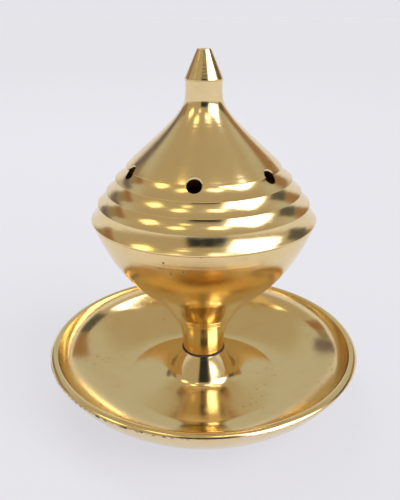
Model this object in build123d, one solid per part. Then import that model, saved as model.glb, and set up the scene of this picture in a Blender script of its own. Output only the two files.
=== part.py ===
"""Table-top incense burner: saucer with a pedestal, cup on a stem, pierced lid and cone finial."""
import os
from math import cos, hypot, radians, sin

from build123d import *

# Driving dimensions, in millimetres. The burner stands on z = 0, and its axis is Z.
SAUCER_RADIUS = 52.5
SAUCER_LIP_HEIGHT = 17.8
SAUCER_LIP_WIDTH = 2.5
FOOT_RADIUS = 29.0
FOOT_RELIEF_RADIUS = 24.0       # inside this radius the underside is clear of the table
FOOT_RELIEF = 0.6
FLOOR_HEIGHT = 2.8              # top of the saucer's flat floor
FLOOR_RADIUS = 27.5             # where the skirt ends in the floor, and the wall begins to rise

PEDESTAL_TOP = 14.6             # the saucer's floor rises to this height in a hollow cone with a shallow skirt
PEDESTAL_TOP_RADIUS = 6.6
CONE_FOOT = (10.6, 7.6)         # where the cone begins to run out into the skirt
POCKET_RADIUS = 6.4             # inside the trumpet, for the nut and its washer
POCKET_TOP = 10.4
POCKET_BOTTOM = 7.8             # below this the hollow flares out
HOLLOW_RADIUS = 17.0

ROD_RADIUS = 3.0
ROD_BOTTOM = 5.7
ROD_TOP = 24.0
FREE_CLEARANCE = 0.2            # radial, where the rod only passes through
FIT_CLEARANCE = 0.05            # radial, where two pieces locate or turn on each other

NUT_ACROSS_FLATS = 10.0
NUT_THICKNESS = 2.9
BASE_WASHER_RADIUS = 6.0
BASE_WASHER_THICKNESS = 0.8
JOINT_WASHER_RADIUS = 7.45
JOINT_WASHER_THICKNESS = 0.5

CUP_RIM_HEIGHT = 63.6
CUP_RIM_RADIUS = 35.6
CUP_MOUTH_RADIUS = 32.3
CUP_WAIST = (21.01, 40.23)       # where the stem's trumpet runs into the bowl's round underside
STEM_RADIUS = 7.0
STEM_BORE_DEPTH = 9.5
LEDGE_HEIGHT = 50.0             # step inside the cup that carries the grate
LEDGE_RADIUS = 25.2
BOWL_FLOOR = 38.0
BOWL_FLOOR_RADIUS = 6.0

GRATE_RADIUS = 26.6
GRATE_THICKNESS = 1.2
GRATE_HOLE_RADIUS = 1.75
GRATE_RINGS = ((0.0, 1), (9.5, 6), (19.0, 12))      # ring radius, number of holes

# The lid's four coved bands end in sharp edges at these radii and heights, from the top down.
BAND_EDGES = ((24.2, 80.4), (27.7, 76.7), (30.7, 72.8), (33.5, 69.0), (35.8, 64.1))
BAND_LEDGE = 0.45
BAND_HOLLOW = 0.35              # how deep each cove is at its middle
SPIGOT_RADIUS = 32.0
SPIGOT_LENGTH = 3.0
SPIGOT_WALL = 1.8
COLLAR_RADIUS = 5.7
COLLAR_BOTTOM = 101.2
COLLAR_TOP = 106.2
CAVITY_TOP = 96.8
SMOKE_HOLES = 6
SMOKE_HOLE_RADIUS = 2.25
SMOKE_CIRCLE_RADIUS = 24.2
SMOKE_CIRCLE_HEIGHT = 80.3
SMOKE_HOLE_TILT = 45.0          # the holes are square to the dome there

FINIAL_RADIUS = 5.9
FINIAL_TIP_RADIUS = 2.1
FINIAL_TOP = 114.9
FINIAL_PIT_RADIUS = 0.5
FINIAL_PIT_DEPTH = 0.6
TANG_RADIUS = 2.5
TANG_LENGTH = 6.2
TANG_BORE_DEPTH = 6.6


def turned(*lines):
    """Revolve a closed outline, whose points are (radius, height), about the vertical axis."""
    edges = [edge for line in lines for edge in line.edges()]
    outline = make_face(Plane.XZ * Wire(edges))
    return revolve(outline, Axis.Z)


def ring(inner, outer, bottom, top):
    """A flat ring between two radii and two heights."""
    return turned(Polyline((inner, bottom), (outer, bottom), (outer, top), (inner, top), (inner, bottom)))


def saucer():
    """A shallow dish on a foot ring, with a rolled lip, whose floor sweeps up to a hollow pedestal."""
    hole = ROD_RADIUS + FREE_CLEARANCE
    top = (PEDESTAL_TOP_RADIUS, PEDESTAL_TOP)
    floor = (FLOOR_RADIUS, FLOOR_HEIGHT)
    lip_in = (SAUCER_RADIUS - SAUCER_LIP_WIDTH, SAUCER_LIP_HEIGHT - 0.3)
    lip_top = (lip_in[0] + 1.1, SAUCER_LIP_HEIGHT)
    lip_out = (SAUCER_RADIUS, SAUCER_LIP_HEIGHT - 0.9)
    crease = (46.6, 10.8)
    foot = (FOOT_RADIUS, 0)
    relief_start = (FOOT_RELIEF_RADIUS, 0)
    relief = (FOOT_RELIEF_RADIUS - FOOT_RELIEF, FOOT_RELIEF)
    hollow = (HOLLOW_RADIUS, FOOT_RELIEF)
    pocket_mouth = (POCKET_RADIUS, POCKET_BOTTOM)
    pocket_roof = (POCKET_RADIUS, POCKET_TOP)
    return turned(
        Line((hole, PEDESTAL_TOP), top),
        Bezier(top, (7.6, 12.3), (9.4, 9.7), CONE_FOOT),
        Bezier(CONE_FOOT, (12.1, 5.0), (15.0, 4.1), floor),
        ThreePointArc(floor, (38.3, 5.4), crease),
        ThreePointArc(crease, (48.9, 14.0), lip_in),
        ThreePointArc(lip_in, lip_top, lip_out),
        ThreePointArc(lip_out, (43.5, 6.1), foot),
        Line(foot, relief_start),
        Line(relief_start, relief),
        Line(relief, hollow),
        Bezier(hollow, (10.5, 0.9), (7.2, 3.6), pocket_mouth),
        Line(pocket_mouth, pocket_roof),
        Line(pocket_roof, (hole, POCKET_TOP)),
        Line((hole, POCKET_TOP), (hole, PEDESTAL_TOP)),
    )


def tie_rod():
    """The threaded rod that is clamped in the pedestal and that the cup screws on to."""
    standing = (Align.CENTER, Align.CENTER, Align.MIN)
    rod = Pos(0, 0, ROD_BOTTOM) * Cylinder(ROD_RADIUS, ROD_TOP - ROD_BOTTOM, align=standing)
    return chamfer(rod.edges().filter_by(GeomType.CIRCLE), 0.5)


def base_washer():
    """The washer between the nut and the roof of the pedestal's pocket."""
    bottom = POCKET_TOP - BASE_WASHER_THICKNESS
    return ring(ROD_RADIUS + FREE_CLEARANCE, BASE_WASHER_RADIUS, bottom, POCKET_TOP)


def base_nut():
    """The hexagonal nut in the pocket under the pedestal."""
    bottom = POCKET_TOP - BASE_WASHER_THICKNESS - NUT_THICKNESS
    hexagon = RegularPolygon(NUT_ACROSS_FLATS / 2, 6, major_radius=False)
    return extrude(Pos(0, 0, bottom) * (hexagon - Circle(ROD_RADIUS + FIT_CLEARANCE)), NUT_THICKNESS)


def joint_washer():
    """The thin dark washer between the pedestal and the cup's stem."""
    return ring(ROD_RADIUS + 2 * FIT_CLEARANCE, JOINT_WASHER_RADIUS,
                PEDESTAL_TOP, PEDESTAL_TOP + JOINT_WASHER_THICKNESS)


def cup():
    """A round-bottomed cup that runs down into a trumpet stem with a threaded bore."""
    bottom = PEDESTAL_TOP + JOINT_WASHER_THICKNESS
    bore = ROD_RADIUS + FIT_CLEARANCE
    bore_top = bottom + STEM_BORE_DEPTH
    rim = (CUP_RIM_RADIUS, CUP_RIM_HEIGHT)
    mouth = (CUP_MOUTH_RADIUS, CUP_RIM_HEIGHT)
    mouth_end = (CUP_MOUTH_RADIUS, CUP_RIM_HEIGHT - SPIGOT_LENGTH - 1)
    grate_seat = (GRATE_RADIUS + 0.4, LEDGE_HEIGHT)
    ledge = (LEDGE_RADIUS, LEDGE_HEIGHT)
    bowl_floor = (BOWL_FLOOR_RADIUS, BOWL_FLOOR)
    return turned(
        Bezier((STEM_RADIUS, bottom), (STEM_RADIUS, 23.27), (9.31, 29.59), CUP_WAIST),
        Bezier(CUP_WAIST, (24.67, 43.57), (30.9, 50.21), rim),
        Line(rim, mouth),
        Line(mouth, mouth_end),
        ThreePointArc(mouth_end, (29.5, 54.4), grate_seat),
        Line(grate_seat, ledge),
        ThreePointArc(ledge, (17.4, 41.9), bowl_floor),
        Line(bowl_floor, (0, BOWL_FLOOR)),
        Line((0, BOWL_FLOOR), (0, bore_top)),
        Line((0, bore_top), (bore, bore_top)),
        Line((bore, bore_top), (bore, bottom)),
        Line((bore, bottom), (STEM_RADIUS, bottom)),
    )


def charcoal_grate():
    """The loose pierced disc inside the cup, which lets air under the charcoal."""
    disc = Circle(GRATE_RADIUS)
    for radius, count in GRATE_RINGS:
        for hole in range(count):
            angle = radians(360 * hole / count)
            disc -= Pos(radius * cos(angle), radius * sin(angle)) * Circle(GRATE_HOLE_RADIUS)
    return extrude(Pos(0, 0, LEDGE_HEIGHT) * disc, GRATE_THICKNESS)


def lid():
    """A hollow dome of coved bands that sweeps up to a narrow collar and is pierced by smoke holes."""
    seat = CUP_RIM_HEIGHT
    spigot_bottom = seat - SPIGOT_LENGTH
    spigot_inner = SPIGOT_RADIUS - SPIGOT_WALL
    tang_bore = TANG_RADIUS + FIT_CLEARANCE
    bore_bottom = COLLAR_TOP - TANG_BORE_DEPTH
    top_edge = BAND_EDGES[0]
    edges = [
        Line((0, bore_bottom), (tang_bore, bore_bottom)),
        Line((tang_bore, bore_bottom), (tang_bore, COLLAR_TOP)),
        Line((tang_bore, COLLAR_TOP), (COLLAR_RADIUS, COLLAR_TOP)),
        ThreePointArc((COLLAR_RADIUS, COLLAR_TOP), (COLLAR_RADIUS - 0.15, (COLLAR_TOP + COLLAR_BOTTOM) / 2),
                      (COLLAR_RADIUS, COLLAR_BOTTOM)),
        Bezier((COLLAR_RADIUS, COLLAR_BOTTOM), (COLLAR_RADIUS, 95.94), (17.73, 87.07), top_edge),
    ]
    for upper, lower in zip(BAND_EDGES, BAND_EDGES[1:]):
        start = (upper[0] - BAND_LEDGE, upper[1] - 0.15)
        middle_r = (start[0] + lower[0]) / 2
        middle_z = (start[1] + lower[1]) / 2
        length = hypot(lower[0] - start[0], lower[1] - start[1])
        inward = (-(start[1] - lower[1]) / length, -(lower[0] - start[0]) / length)
        middle = (middle_r + inward[0] * BAND_HOLLOW, middle_z + inward[1] * BAND_HOLLOW)
        edges += [Line(upper, start), ThreePointArc(start, middle, lower)]
    rim = BAND_EDGES[-1]
    edges += [
        Line(rim, (rim[0], seat)),
        Line((rim[0], seat), (SPIGOT_RADIUS, seat)),
        Line((SPIGOT_RADIUS, seat), (SPIGOT_RADIUS, spigot_bottom)),
        Line((SPIGOT_RADIUS, spigot_bottom), (spigot_inner, spigot_bottom)),
        Line((spigot_inner, spigot_bottom), (spigot_inner, seat + 1.5)),
        Spline((spigot_inner, seat + 1.5), (28.0, 71.3), (22.3, 77.7), (16.3, 83.6), (10.3, 89.8),
               (4.0, CAVITY_TOP), tangents=((-0.2, 1), (-0.7, 1))),
        Line((4.0, CAVITY_TOP), (0, CAVITY_TOP)),
        Line((0, CAVITY_TOP), (0, bore_bottom)),
    ]
    shell = turned(*edges)
    for hole in range(SMOKE_HOLES):
        turn = 360 * hole / SMOKE_HOLES - 90
        place = Rot(0, 0, turn) * Pos(SMOKE_CIRCLE_RADIUS, 0, SMOKE_CIRCLE_HEIGHT)
        shell -= place * Rot(0, SMOKE_HOLE_TILT, 0) * Cylinder(SMOKE_HOLE_RADIUS, 14)
    return shell


def finial():
    """The cone on top, with a tang that locates it in the lid's collar."""
    tang_bottom = COLLAR_TOP - TANG_LENGTH
    pit_floor = FINIAL_TOP - FINIAL_PIT_DEPTH
    return turned(Polyline(
        (0, tang_bottom), (TANG_RADIUS, tang_bottom), (TANG_RADIUS, COLLAR_TOP), (FINIAL_RADIUS, COLLAR_TOP),
        (FINIAL_RADIUS, COLLAR_TOP + 0.3), (FINIAL_TIP_RADIUS, FINIAL_TOP), (FINIAL_PIT_RADIUS, FINIAL_TOP),
        (0, pit_floor), (0, tang_bottom),
    ))


os.makedirs("parts", exist_ok=True)
for make in (saucer, tie_rod, base_washer, base_nut, joint_washer, cup, charcoal_grate, lid, finial):
    piece = make()
    piece.label = make.__name__
    export_step(piece, f"parts/{make.__name__}.step")
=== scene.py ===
"""A table-top brass incense burner, turned on a lathe: saucer, cup, grate, pierced lid and finial."""
from math import atan2, cos, degrees, hypot, pi, radians, sin

import bpy
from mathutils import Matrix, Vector


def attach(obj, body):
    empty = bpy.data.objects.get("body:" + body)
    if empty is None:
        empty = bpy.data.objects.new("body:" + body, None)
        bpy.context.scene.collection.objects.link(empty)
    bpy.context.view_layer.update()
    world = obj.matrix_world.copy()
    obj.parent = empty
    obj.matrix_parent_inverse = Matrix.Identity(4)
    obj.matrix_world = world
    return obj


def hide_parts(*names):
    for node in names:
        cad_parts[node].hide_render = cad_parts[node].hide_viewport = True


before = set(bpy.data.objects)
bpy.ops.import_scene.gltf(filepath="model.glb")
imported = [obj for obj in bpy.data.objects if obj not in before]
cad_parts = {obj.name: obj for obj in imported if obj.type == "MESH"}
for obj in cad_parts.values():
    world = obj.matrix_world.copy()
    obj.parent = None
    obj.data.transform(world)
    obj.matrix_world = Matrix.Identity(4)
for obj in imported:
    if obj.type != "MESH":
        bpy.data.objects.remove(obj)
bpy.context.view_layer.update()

scene = bpy.context.scene
MM = 0.001


# Camera. It looks down on the burner from just to the right of a smoke hole, near enough for the saucer
# to look wide below the lid.
CAMERA_DISTANCE = 187.3 * MM
CAMERA_HEIGHT = 127.4 * MM
CAMERA_SIDE = radians(6.4)
CAMERA_AIM = radians(0.364)
CAMERA_DIP = radians(22.1)

lens = bpy.data.cameras.new("camera")
lens.lens = 43.97
lens.clip_start = 0.01
camera = bpy.data.objects.new("camera", lens)
camera.location = (CAMERA_DISTANCE * sin(CAMERA_SIDE), -CAMERA_DISTANCE * cos(CAMERA_SIDE), CAMERA_HEIGHT)
camera.rotation_euler = (pi / 2 - CAMERA_DIP, 0, CAMERA_SIDE + CAMERA_AIM)
scene.collection.objects.link(camera)
scene.camera = camera
scene.view_settings.view_transform = "Standard"


# Studio. A pale room with soft boxes and dark flags round it, which is what polished brass has to reflect,
# and a pale table top under it.
class Value:
    """One output of a node tree, with arithmetic written as Python expressions."""

    def __init__(self, tree, socket):
        self.tree = tree
        self.socket = socket

    def node(self, kind, settings=None, inputs=None, output=0):
        """Add any node: its settings first, then the values or links of its sockets."""
        made = self.tree.nodes.new(kind)
        for name, setting in (settings or {}).items():
            setattr(made, name, setting)
        for name, value in (inputs or {}).items():
            if isinstance(value, Value):
                self.tree.links.new(value.socket, made.inputs[name])
            else:
                made.inputs[name].default_value = value
        return Value(self.tree, made.outputs[output])

    def math(self, operation, *others):
        return self.node("ShaderNodeMath", {"operation": operation}, dict(enumerate((self, *others))))

    def flip(self, operation, other):
        return self.node("ShaderNodeMath", {"operation": operation}, {0: other, 1: self})

    def __add__(self, other):
        return self.math("ADD", other)

    __radd__ = __add__

    def __mul__(self, other):
        return self.math("MULTIPLY", other)

    __rmul__ = __mul__

    def __sub__(self, other):
        return self.math("SUBTRACT", other)

    def __rsub__(self, other):
        return self.flip("SUBTRACT", other)

    def rise(self, low, high):
        """0 below low, 1 above high, and smooth between."""
        return self.node("ShaderNodeMapRange", {"interpolation_type": "SMOOTHSTEP"},
                         {"Value": self, "From Min": low, "From Max": high})

    def between(self, low, high, edge):
        """1 from low to high, with soft edges."""
        return self.rise(low - edge, low + edge) * (1 - self.rise(high - edge, high + edge))

    def blend(self, first, second):
        """Mix two colours, with this value as the share of the second."""
        return self.node("ShaderNodeMix", {"data_type": "RGBA"}, {0: self, 6: first, 7: second}, 2)

    def parts(self):
        """The three numbers of a vector."""
        return [self.node("ShaderNodeSeparateXYZ", {}, {0: self}, axis) for axis in range(3)]


ROOM = (0.47, 0.41, 0.31)
BACK_WALL = (0.54, 0.54, 0.49)
TABLE_LIGHT = (0.82, 0.81, 0.85)
BACKDROP = (0.785, 0.775, 0.823)
TABLE_GLOW = (0.785, 0.794, 0.867)
BEHIND = (95, 130)
BACK_WALL_TOP = (38, 50)
TABLE_EDGE = (8, 18)
# Azimuth and elevation in degrees: azimuth 0 is towards the camera, and positive is to its right.
SOFT_BOXES = (
    ((32, 88), (24, 56), (4.2, 4.3, 4.5)),
    ((10, 44), (60, 68), (3.0, 2.8, 2.3)),
    ((-62, -36), (60, 67), (3.2, 2.7, 1.5)),
    ((-88, -66), (40, 50), (3.2, 2.7, 1.4)),
    ((-33, -19), (49, 53), (2.6, 2.3, 1.3)),
)
FLAGS = (
    ((-18, 24), (14, 42), (0.02, 0.025, 0.03)),
    ((98, 126), (10, 30), (0.10, 0.10, 0.10)),
    ((126, 150), (12, 30), (0.34, 0.20, 0.11)),
    ((-122, -108), (10, 34), (0.32, 0.17, 0.10)),
    ((-146, -134), (10, 34), (0.17, 0.14, 0.17)),
    ((-134, -122), (12, 30), (0.30, 0.25, 0.17)),
)

world = bpy.data.worlds.new("room")
scene.world = world
world.use_nodes = True
tree = world.node_tree
direction = Value(tree, tree.nodes.new("ShaderNodeTexCoord").outputs["Generated"])
x, y, z = direction.parts()
azimuth = x.math("ARCTAN2", -1 * y) * (180 / pi) - degrees(CAMERA_SIDE)
elevation = z.math("ARCSINE") * (180 / pi)
behind = azimuth.math("ABSOLUTE").rise(*BEHIND)
wall = (behind * (1 - elevation.rise(*BACK_WALL_TOP))).blend((*ROOM, 1), (*BACK_WALL, 1))
light = elevation.rise(*TABLE_EDGE).blend((*TABLE_LIGHT, 1), wall)
for (left, right), (low, high), colour in FLAGS + SOFT_BOXES:
    patch = azimuth.between(left, right, 2) * elevation.between(low, high, 1.5)
    light = patch.blend(light, (*colour, 1))
seen = direction.node("ShaderNodeLightPath", output="Is Camera Ray")
light = seen.blend(light, (*BACKDROP, 1))
tree.links.new(light.socket, tree.nodes["Background"].inputs["Color"])

key = bpy.data.lights.new("key", "AREA")
key.energy = 1.6
key.size = 0.5
key_lamp = bpy.data.objects.new("key", key)
key_lamp.location = (-0.25, 0.35, 0.75)
key_lamp.rotation_euler = (Vector((0, 0, 0.03)) - key_lamp.location).to_track_quat("-Z", "Y").to_euler()
key_lamp.visible_glossy = False
scene.collection.objects.link(key_lamp)

bpy.ops.object.select_all(action="DESELECT")
bpy.ops.mesh.primitive_plane_add(size=12)
table = bpy.context.object
table.name = "table_top"
paint = bpy.data.materials.new("table_paint")
paint.use_nodes = True
tree = paint.node_tree
shader = tree.nodes["Principled BSDF"]
shader.inputs["Roughness"].default_value = 0.75
shader.inputs["Specular IOR Level"].default_value = 0.15
place = Value(tree, tree.nodes.new("ShaderNodeTexCoord").outputs["Object"])
mottle = place.node("ShaderNodeTexNoise", {}, {"Vector": place, "Scale": 9.0, "Detail": 3.0})
paint_colour = mottle.blend((0.21, 0.207, 0.22, 1), (0.22, 0.217, 0.23, 1))
tree.links.new(paint_colour.socket, shader.inputs["Base Color"])
shader.inputs["Emission Color"].default_value = (*TABLE_GLOW, 1)
shader.inputs["Emission Strength"].default_value = 0.73
table.data.materials.append(paint)


# Saucer. A shallow dish turned from one brass casting, with a foot ring, a creased wall and a rolled lip.
# In the middle its floor rises in a shallow skirt to a hollow cone, the pedestal, which carries the cup and
# hides the nut underneath.
SIDES = 180
SAUCER_RADIUS = 52.5
LIP_HEIGHT = 17.8
LIP_WIDTH = 2.5
CREASE = (46.6, 10.8)
FLOOR_HEIGHT = 2.8
FOOT_RADIUS = 29.0
RELIEF_RADIUS = 24.0
RELIEF = 0.6
HOLLOW_RADIUS = 17.0
PEDESTAL_RADIUS = 6.6
PEDESTAL_TOP = 14.6
CONE_FOOT = (10.6, 7.6)
FLOOR_RADIUS = 27.5
POCKET_RADIUS = 6.4
POCKET_TOP = 10.4
POCKET_MOUTH = 7.8
ROD_HOLE = 3.2


def arc(start, through, end, steps):
    """Points on the circle through three points, after the start and up to the end."""
    (ax, ay), (bx, by), (cx, cy) = start, through, end
    d = 2 * (ax * (by - cy) + bx * (cy - ay) + cx * (ay - by))
    a, b, c = ax * ax + ay * ay, bx * bx + by * by, cx * cx + cy * cy
    ox = (a * (by - cy) + b * (cy - ay) + c * (ay - by)) / d
    oy = (a * (cx - bx) + b * (ax - cx) + c * (bx - ax)) / d
    radius = hypot(ax - ox, ay - oy)
    first = atan2(ay - oy, ax - ox)
    sweep = atan2(cy - oy, cx - ox) - first
    sweep = (sweep + pi) % (2 * pi) - pi
    return [(ox + radius * cos(first + sweep * i / steps), oy + radius * sin(first + sweep * i / steps))
            for i in range(1, steps + 1)]


def sweep(start, pull, push, end, steps):
    """Points on a long smooth curve, after the start and up to the end, led by two handles."""
    points = []
    for i in range(1, steps + 1):
        t = i / steps
        shares = ((1 - t) ** 3, 3 * t * (1 - t) ** 2, 3 * t * t * (1 - t), t ** 3)
        points.append(tuple(sum(s * p[k] for s, p in zip(shares, (start, pull, push, end))) for k in (0, 1)))
    return points


def run(start, end, steps):
    """Points along a straight stretch, after the start and up to the end."""
    return [(start[0] + (end[0] - start[0]) * i / steps, start[1] + (end[1] - start[1]) * i / steps)
            for i in range(1, steps + 1)]


def turn(name, outline):
    """Model a turned piece: a circle, extruded and scaled ring by ring along its outline, in millimetres."""
    closed = outline[0] == outline[-1]
    bpy.ops.object.select_all(action="DESELECT")
    radius, height = outline[0]
    bpy.ops.mesh.primitive_circle_add(vertices=SIDES, radius=radius * MM, location=(0, 0, height * MM))
    piece = bpy.context.object
    piece.name = piece.data.name = name
    bpy.ops.object.transform_apply(location=True, rotation=False, scale=False)
    bpy.ops.object.mode_set(mode="EDIT")
    bpy.ops.mesh.select_mode(type="VERT")
    bpy.ops.mesh.select_all(action="SELECT")
    for (r0, z0), (r1, z1) in zip(outline, outline[1:]):
        bpy.ops.mesh.extrude_region_move(TRANSFORM_OT_translate={"value": (0, 0, (z1 - z0) * MM)})
        bpy.ops.transform.resize(value=(r1 / r0, r1 / r0, 1), center_override=(0, 0, z1 * MM))
    bpy.ops.mesh.select_all(action="SELECT")
    bpy.ops.mesh.remove_doubles(threshold=0.000001)
    if not closed:
        bpy.ops.mesh.fill_holes(sides=0)
        bpy.ops.mesh.select_all(action="SELECT")
    bpy.ops.mesh.normals_make_consistent(inside=False)
    bpy.ops.object.mode_set(mode="OBJECT")
    bpy.ops.object.shade_smooth_by_angle(angle=radians(28))
    return piece


def brass(name, tint=(0.86, 0.68, 0.36), warm=(0.80, 0.55, 0.24), rough=0.15, pitch=0.30, grooves=0.15,
          tarnish=0.35, pits=0.0, edge_flecks=0.0):
    """Polished brass with turning lines, faint tarnish and, where asked, casting pits and dark flecks on the
    lip's outer edge.
    """
    metal = bpy.data.materials.new(name)
    metal.use_nodes = True
    tree = metal.node_tree
    shader = tree.nodes["Principled BSDF"]
    shader.inputs["Metallic"].default_value = 1.0
    place = Value(tree, tree.nodes.new("ShaderNodeTexCoord").outputs["Object"])
    x, y, z = place.parts()
    across = (x * x + y * y).math("SQRT")
    around = y.math("ARCTAN2", x).math("ABSOLUTE")
    lathe = place.node("ShaderNodeCombineXYZ", {}, {0: across, 1: z, 2: around * 0.0006})
    fine = place.node("ShaderNodeTexNoise", {}, {"Vector": lathe, "Scale": 1 / (pitch * MM), "Detail": 2.0})
    coarse = place.node("ShaderNodeTexNoise", {}, {"Vector": lathe, "Scale": 0.35 / (pitch * MM),
                                                   "Detail": 3.0})
    clouds = place.node("ShaderNodeTexNoise", {}, {"Vector": place, "Scale": 70.0, "Detail": 5.0,
                                                   "Roughness": 0.6})
    smears = place.node("ShaderNodeTexNoise", {}, {"Vector": place, "Scale": 260.0, "Detail": 4.0})
    dull = clouds.rise(0.45, 0.72) * tarnish
    colour = dull.blend((*tint, 1), (*warm, 1))
    colour = (smears.rise(0.52, 0.78) * (0.35 * tarnish)).blend(colour, (0.62, 0.50, 0.30, 1))
    height = fine * (0.7 * grooves) + coarse * (2.2 * grooves)
    roughness = rough + 0.06 * dull + 0.05 * (fine - 0.5) + 0.08 * smears.rise(0.5, 0.8)
    if pits:
        cells = place.node("ShaderNodeTexVoronoi", {}, {"Vector": place, "Scale": 420.0}, "Distance")
        spots = (1 - cells.rise(0.10, 0.19)) * clouds.rise(0.56, 0.62) * pits
        colour = spots.blend(colour, (0.16, 0.10, 0.05, 1))
        height = height - spots * 0.8
        roughness = roughness + 0.3 * spots
    if edge_flecks:
        # Dark flecks painted along the lip's outer edge, heaviest towards the front left.
        flecks = place.node("ShaderNodeTexNoise", {}, {"Vector": place, "Scale": 800.0, "Detail": 3.0})
        edge = z.between((LIP_HEIGHT - 1.6) * MM, (LIP_HEIGHT - 0.7) * MM, 0.15 * MM)
        edge = edge * across.rise((SAUCER_RADIUS - 0.7) * MM, (SAUCER_RADIUS - 0.3) * MM)
        side = (x * -0.8 - y * 0.6).rise(22 * MM, 44 * MM)
        flecks = flecks.rise(0.47, 0.56) * edge * (0.15 + 0.85 * side) * edge_flecks
        colour = flecks.blend(colour, (0.07, 0.05, 0.035, 1))
        roughness = roughness + 0.35 * flecks
        height = height - flecks * 0.5
    bump = place.node("ShaderNodeBump", {}, {"Height": height, "Strength": 0.8, "Distance": 0.0001})
    for wanted, value in (("Base Color", colour), ("Roughness", roughness), ("Normal", bump)):
        tree.links.new(value.socket, shader.inputs[wanted])
    return metal


def settle(piece, body, slot, metal, *nodes):
    """Give a finished piece its metal and its place in the frame."""
    piece.data.materials.append(metal)
    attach(piece, body)
    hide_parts(*nodes)


lip_inner = (SAUCER_RADIUS - LIP_WIDTH, LIP_HEIGHT - 0.3)
lip_outer = (SAUCER_RADIUS, LIP_HEIGHT - 0.9)
floor_start = (FLOOR_RADIUS, FLOOR_HEIGHT)
saucer_outline = [(ROD_HOLE, POCKET_TOP), (ROD_HOLE, PEDESTAL_TOP), (PEDESTAL_RADIUS - 0.1, PEDESTAL_TOP)]
saucer_outline += sweep((PEDESTAL_RADIUS, PEDESTAL_TOP), (7.6, 12.3), (9.4, 9.7), CONE_FOOT, 16)
saucer_outline += sweep(CONE_FOOT, (12.1, 5.0), (15.0, 4.1), floor_start, 36)
saucer_outline += arc(floor_start, (38.3, 5.4), CREASE, 24)
saucer_outline += arc(CREASE, (48.9, 14.0), lip_inner, 12)
saucer_outline += arc(lip_inner, (lip_inner[0] + 1.1, LIP_HEIGHT), lip_outer, 12)
saucer_outline += arc(lip_outer, (43.5, 6.1), (FOOT_RADIUS, 0), 32)
saucer_outline += [(RELIEF_RADIUS, 0), (RELIEF_RADIUS - RELIEF, RELIEF), (HOLLOW_RADIUS, RELIEF)]
saucer_outline += sweep((HOLLOW_RADIUS, RELIEF), (10.5, 0.9), (7.2, 3.6), (POCKET_RADIUS, POCKET_MOUTH), 16)
saucer_outline += [(POCKET_RADIUS, POCKET_TOP), (ROD_HOLE, POCKET_TOP)]
saucer = turn("saucer_dish", saucer_outline)
saucer_brass = brass("saucer_brass", rough=0.14, pitch=0.5, grooves=0.07, pits=0.3, edge_flecks=1.0)
settle(saucer, "base", "bright_brass", saucer_brass, "saucer")


# Joint washer. A thin ring punched from dark leather, which lies on the pedestal's top. The cup's stem
# tightens down on it, and it turns with the stem.
WASHER_BORE = 3.1
WASHER_RADIUS = 7.45
WASHER_TOP = 15.1

washer_outline = [(WASHER_BORE, PEDESTAL_TOP), (WASHER_BORE, WASHER_TOP), (WASHER_RADIUS - 0.1, WASHER_TOP),
                  (WASHER_RADIUS, WASHER_TOP - 0.1), (WASHER_RADIUS, PEDESTAL_TOP + 0.1),
                  (WASHER_RADIUS - 0.1, PEDESTAL_TOP), (WASHER_BORE, PEDESTAL_TOP)]
joint_washer = turn("stem_washer_ring", washer_outline)
leather = bpy.data.materials.new("washer_leather")
leather.use_nodes = True
tree = leather.node_tree
shader = tree.nodes["Principled BSDF"]
place = Value(tree, tree.nodes.new("ShaderNodeTexCoord").outputs["Object"])
grain = place.node("ShaderNodeTexNoise", {}, {"Vector": place, "Scale": 1500.0, "Detail": 4.0})
hide = grain.blend((0.035, 0.022, 0.015, 1), (0.10, 0.065, 0.045, 1))
tree.links.new(hide.socket, shader.inputs["Base Color"])
tree.links.new((0.5 + 0.25 * grain).socket, shader.inputs["Roughness"])
settle(joint_washer, "stem_washer", "dark_washer", leather, "joint_washer")


# Cup. A round-bottomed bowl and its trumpet stem, turned from one brass casting. The stem has a threaded
# bore below, and three fine grooves cut round its upper end.
CUP_RIM = (35.6, 63.6)
CUP_MOUTH = 32.3
CUP_BASE = (7.0, 15.1)
CUP_WAIST = (21.01, 40.23)
STEM_BORE = 3.05
BORE_TOP = 24.6
MOUTH_END = (CUP_MOUTH, 59.6)
LEDGE_HEIGHT = 50.0
GRATE_SEAT = (27.0, LEDGE_HEIGHT)
LEDGE = (25.2, LEDGE_HEIGHT)
BOWL_FLOOR = (6.0, 38.0)
GROOVES = (27.6, 28.6, 29.6)
GROOVE_DEPTH = 0.07
GROOVE_HALF = 0.13

stem = sweep(CUP_BASE, (7.0, 23.27), (9.31, 29.59), CUP_WAIST, 60)
cut_stem = [p for p in stem if p[1] > CUP_BASE[1] + 0.2]
cut_stem = [p for p in cut_stem if min(abs(p[1] - groove) for groove in GROOVES) > 1.5 * GROOVE_HALF]
for groove in GROOVES:
    below = max(p for p in stem if p[1] <= groove)
    above = min(p for p in stem if p[1] > groove)
    share = (groove - below[1]) / (above[1] - below[1])
    wall = below[0] + share * (above[0] - below[0])
    lean = (above[0] - below[0]) / (above[1] - below[1]) * GROOVE_HALF
    cut_stem += [(wall - lean, groove - GROOVE_HALF), (wall - GROOVE_DEPTH, groove),
                 (wall + lean, groove + GROOVE_HALF)]
cut_stem.sort(key=lambda point: point[1])
cup_outline = [(STEM_BORE, BORE_TOP), (STEM_BORE, CUP_BASE[1] + 0.3), (STEM_BORE + 0.3, CUP_BASE[1]),
               (CUP_BASE[0] - 0.15, CUP_BASE[1]), (CUP_BASE[0], CUP_BASE[1] + 0.15)]
cup_outline += cut_stem
cup_outline += sweep(CUP_WAIST, (24.67, 43.57), (30.9, 50.21), CUP_RIM, 44)
cup_outline[-1] = (CUP_RIM[0] - 0.05, CUP_RIM[1] - 0.15)
cup_outline += [(CUP_RIM[0] - 0.2, CUP_RIM[1]), (CUP_MOUTH + 0.2, CUP_RIM[1]), (CUP_MOUTH, CUP_RIM[1] - 0.2)]
cup_outline += run(cup_outline[-1], MOUTH_END, 4)
cup_outline += arc(MOUTH_END, (29.5, 54.4), GRATE_SEAT, 10)
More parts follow.
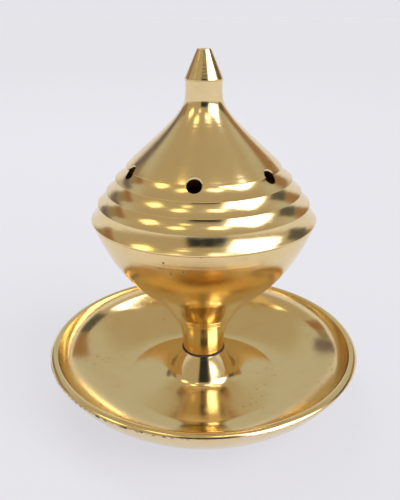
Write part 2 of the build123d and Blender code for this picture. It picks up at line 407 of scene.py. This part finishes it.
cup_outline += [LEDGE] + arc(LEDGE, (17.4, 41.9), BOWL_FLOOR, 16)
cup = turn("cup_bowl", cup_outline)
cup_brass = brass("cup_brass", tint=(0.88, 0.68, 0.35), warm=(0.83, 0.56, 0.25), pitch=0.25, grooves=0.12,
                  pits=0.9)
settle(cup, "cup", "bright_brass", cup_brass, "cup")


# Charcoal grate. A loose brass disc on the ledge inside the cup, punched with air holes in two rings round
# one in the middle, and browned by heat.
GRATE_RADIUS = 26.6
GRATE_THICKNESS = 1.2
GRATE_HOLE = 1.75
GRATE_RINGS = ((0.0, 1), (9.5, 6), (19.0, 12))


def punch(piece, cutter):
    """Cut one piece by another with a boolean, and take the cutter away."""
    cut = piece.modifiers.new("cut", "BOOLEAN")
    cut.operation = "DIFFERENCE"
    cut.solver = "EXACT"
    cut.object = cutter
    bpy.ops.object.select_all(action="DESELECT")
    bpy.context.view_layer.objects.active = piece
    piece.select_set(True)
    bpy.ops.object.modifier_apply(modifier=cut.name)
    bpy.data.objects.remove(cutter)


def join(pieces):
    """Join several objects into the first one."""
    bpy.ops.object.select_all(action="DESELECT")
    for piece in pieces:
        piece.select_set(True)
    bpy.context.view_layer.objects.active = pieces[0]
    bpy.ops.object.join()
    return bpy.context.object


grate_top = LEDGE_HEIGHT + GRATE_THICKNESS
rim_in = GRATE_RADIUS - 0.15
grate_outline = [(0.4, LEDGE_HEIGHT)] + run((0.4, LEDGE_HEIGHT), (rim_in, LEDGE_HEIGHT), 2)
grate_outline += [(GRATE_RADIUS, LEDGE_HEIGHT + 0.15), (GRATE_RADIUS, grate_top - 0.15)]
grate_outline += [(rim_in, grate_top), (0.4, grate_top)]
grate = turn("charcoal_grate_disc", grate_outline)
punches = []
for ring, count in GRATE_RINGS:
    for hole in range(count):
        turned = 2 * pi * hole / count
        bpy.ops.mesh.primitive_cylinder_add(
            vertices=32, radius=GRATE_HOLE * MM, depth=4 * MM,
            location=(ring * cos(turned) * MM, ring * sin(turned) * MM,
                      (LEDGE_HEIGHT + GRATE_THICKNESS / 2) * MM))
        punches.append(bpy.context.object)
punch(grate, join(punches))
grate_brass = brass("grate_brass", tint=(0.62, 0.44, 0.20), warm=(0.30, 0.18, 0.08), rough=0.34,
                    tarnish=0.9, pits=1.0)
settle(grate, "grate", "grate_brass", grate_brass, "charcoal_grate")


# Lid. One hollow turned casting: four coved bands, each ending in a sharp edge, a long sweep up to a narrow
# collar, and six smoke holes drilled square to the dome, with countersunk edges.
BAND_EDGES = ((24.2, 80.4), (27.7, 76.7), (30.7, 72.8), (33.5, 69.0), (35.8, 64.1))
BAND_LEDGE = 0.45
BAND_HOLLOW = 0.35
COLLAR_RADIUS = 5.7
COLLAR_BOTTOM = 101.2
COLLAR_TOP = 106.2
SEAT = CUP_RIM[1]
SPIGOT_RADIUS = 32.0
SPIGOT_BORE = 30.2
SPIGOT_FOOT = 60.6
TANG_BORE = 2.55
TANG_BORE_BOTTOM = 99.6
SMOKE_HOLES = 6
SMOKE_RADIUS = 2.25
SMOKE_CENTRE = (24.2, 80.3)
SMOKE_TILT = radians(45)
COUNTERSINK = 0.28

collar_top = (COLLAR_RADIUS, COLLAR_TOP)
collar_bottom = (COLLAR_RADIUS, COLLAR_BOTTOM)
lid_outline = [(TANG_BORE, TANG_BORE_BOTTOM), (TANG_BORE, COLLAR_TOP), (COLLAR_RADIUS - 0.15, COLLAR_TOP),
               (COLLAR_RADIUS, COLLAR_TOP - 0.15)]
lid_outline += arc(collar_top, (COLLAR_RADIUS - 0.15, 103.7), collar_bottom, 12)[1:]
lid_outline += sweep(collar_bottom, (COLLAR_RADIUS, 95.94), (17.73, 87.07), BAND_EDGES[0], 72)
for upper, lower in zip(BAND_EDGES, BAND_EDGES[1:]):
    start = (upper[0] - BAND_LEDGE, upper[1] - 0.15)
    along = Vector((lower[0] - start[0], lower[1] - start[1])).normalized()
    middle = ((start[0] + lower[0]) / 2 + along.y * BAND_HOLLOW,
              (start[1] + lower[1]) / 2 - along.x * BAND_HOLLOW)
    lid_outline += [(upper[0] - 0.05, upper[1] - 0.07), start] + arc(start, middle, lower, 16)
lid_rim = BAND_EDGES[-1][0]
lid_outline += [(lid_rim, SEAT + 0.15), (lid_rim - 0.15, SEAT), (SPIGOT_RADIUS, SEAT),
                (SPIGOT_RADIUS, SPIGOT_FOOT + 0.3), (SPIGOT_RADIUS - 0.3, SPIGOT_FOOT),
                (SPIGOT_BORE, SPIGOT_FOOT)]
lid_outline += run((SPIGOT_BORE, SPIGOT_FOOT), (SPIGOT_BORE, SEAT + 1.5), 4)
lid_outline += sweep((SPIGOT_BORE, SEAT + 1.5), (29.0, 71.5), (19.0, 79.6), (4.0, 96.8), 28)
lid = turn("lid_dome", lid_outline)

drills = []
for hole in range(SMOKE_HOLES):
    bearing = 2 * pi * hole / SMOKE_HOLES - pi / 2
    out = Vector((cos(bearing) * cos(SMOKE_TILT), sin(bearing) * cos(SMOKE_TILT), sin(SMOKE_TILT)))
    mouth = Vector((SMOKE_CENTRE[0] * cos(bearing), SMOKE_CENTRE[0] * sin(bearing), SMOKE_CENTRE[1])) * MM
    bpy.ops.object.select_all(action="DESELECT")
    bpy.ops.mesh.primitive_cylinder_add(vertices=48, radius=SMOKE_RADIUS * MM, depth=10 * MM)
    drill = bpy.context.object
    bpy.ops.object.mode_set(mode="EDIT")
    bpy.ops.mesh.select_mode(type="FACE")
    bpy.ops.mesh.select_all(action="DESELECT")
    bpy.ops.object.mode_set(mode="OBJECT")
    for face in drill.data.polygons:
        face.select = face.normal.z > 0.9
    bpy.ops.object.mode_set(mode="EDIT")
    bpy.ops.transform.translate(value=(0, 0, -(5 + COUNTERSINK) * MM))
    wide = (SMOKE_RADIUS + 3 * COUNTERSINK) / SMOKE_RADIUS
    bpy.ops.mesh.extrude_region_move(TRANSFORM_OT_translate={"value": (0, 0, 3 * COUNTERSINK * MM)})
    bpy.ops.transform.resize(value=(wide, wide, 1), center_override=(0, 0, 2 * COUNTERSINK * MM))
    bpy.ops.mesh.extrude_region_move(TRANSFORM_OT_translate={"value": (0, 0, 3 * MM)})
    bpy.ops.object.mode_set(mode="OBJECT")
    drill.rotation_euler = out.to_track_quat("Z", "Y").to_euler()
    drill.location = mouth
    drills.append(drill)
punch(lid, join(drills))
bpy.ops.object.shade_smooth_by_angle(angle=radians(28))
settle(lid, "lid", "bright_brass", brass("lid_brass", pitch=0.30, grooves=0.12), "lid")


# Finial. A solid brass cone with a flat, centre-drilled tip, located by a tang in the lid's collar.
FINIAL_TOP = 114.9
finial_outline = [(0.12, 114.25), (0.5, FINIAL_TOP - 0.05), (0.62, FINIAL_TOP), (1.95, FINIAL_TOP),
                  (2.12, FINIAL_TOP - 0.12)]
finial_outline += run(finial_outline[-1], (5.87, COLLAR_TOP + 0.3), 24)
finial_outline += [(5.9, COLLAR_TOP + 0.2), (5.85, COLLAR_TOP), (2.5, COLLAR_TOP), (2.5, 100.3), (2.2, 100.0)]
finial = turn("finial_cone", finial_outline)
settle(finial, "finial", "bright_brass", brass("finial_brass", pitch=0.22), "finial")


# Rod, nut and washer. Zinc-plated steel, bought in rather than turned. The nut draws the rod up in the
# pocket under the pedestal, and the cup screws on to its upper end, where it shows when the cup is undone.
ROD_RADIUS = 3.0
ROD_BOTTOM = 5.7
ROD_TOP = 24.0
THREAD_PITCH = 1.0
THREAD_DEPTH = 0.5
THREADS = 18
NUT_FLATS = 10.0
NUT_THICKNESS = 2.9
NUT_MIDDLE = 8.15
BASE_WASHER_RADIUS = 6.0
BASE_WASHER_BOTTOM = 9.6

rod_outline = [(0.4, ROD_BOTTOM), (ROD_RADIUS - THREAD_DEPTH, ROD_BOTTOM)]
for thread in range(THREADS):
    crest = ROD_BOTTOM + 0.5 + THREAD_PITCH * thread
    rod_outline += [(ROD_RADIUS, crest), (ROD_RADIUS, crest + 0.12), (ROD_RADIUS - THREAD_DEPTH, crest + 0.5),
                    (ROD_RADIUS - THREAD_DEPTH, crest + 0.62)]
rod_outline = [p for p in rod_outline if p[1] < ROD_TOP - 0.1]
rod_outline += [(ROD_RADIUS - THREAD_DEPTH, ROD_TOP), (0.4, ROD_TOP)]
rod = turn("tie_rod_thread", rod_outline)

base_washer_outline = [(ROD_HOLE, BASE_WASHER_BOTTOM), (ROD_HOLE, POCKET_TOP),
                       (BASE_WASHER_RADIUS - 0.1, POCKET_TOP), (BASE_WASHER_RADIUS, POCKET_TOP - 0.1),
                       (BASE_WASHER_RADIUS, BASE_WASHER_BOTTOM + 0.1),
                       (BASE_WASHER_RADIUS - 0.1, BASE_WASHER_BOTTOM), (ROD_HOLE, BASE_WASHER_BOTTOM)]
washer = turn("base_washer_ring", base_washer_outline)

bpy.ops.object.select_all(action="DESELECT")
bpy.ops.mesh.primitive_cylinder_add(vertices=6, radius=NUT_FLATS / 2 / cos(pi / 6) * MM,
                                    depth=NUT_THICKNESS * MM, location=(0, 0, NUT_MIDDLE * MM),
                                    rotation=(0, 0, pi / 6))
nut = bpy.context.object
nut.name = nut.data.name = "base_nut_hexagon"
bpy.ops.object.transform_apply(location=True, rotation=True, scale=True)
bpy.ops.mesh.primitive_cylinder_add(vertices=64, radius=(ROD_RADIUS + 0.05) * MM, depth=6 * MM,
                                    location=(0, 0, 8 * MM))
punch(nut, bpy.context.object)
bevel = nut.modifiers.new("edges", "BEVEL")
bevel.width = 0.25 * MM
bevel.segments = 2
bevel.limit_method = "ANGLE"
bpy.ops.object.modifier_apply(modifier=bevel.name)
bpy.ops.object.shade_smooth_by_angle(angle=radians(28))

zinc = bpy.data.materials.new("zinc_plate")
zinc.use_nodes = True
tree = zinc.node_tree
shader = tree.nodes["Principled BSDF"]
shader.inputs["Metallic"].default_value = 1.0
place = Value(tree, tree.nodes.new("ShaderNodeTexCoord").outputs["Object"])
spangle = place.node("ShaderNodeTexNoise", {}, {"Vector": place, "Scale": 900.0, "Detail": 3.0})
plate = spangle.blend((0.55, 0.55, 0.53, 1), (0.72, 0.71, 0.66, 1))
tree.links.new(plate.socket, shader.inputs["Base Color"])
tree.links.new((0.25 + 0.2 * spangle).socket, shader.inputs["Roughness"])
settle(rod, "base", "zinc_steel", zinc, "tie_rod")
settle(washer, "base", "zinc_steel", zinc, "base_washer")
settle(nut, "base", "zinc_steel", zinc, "base_nut")
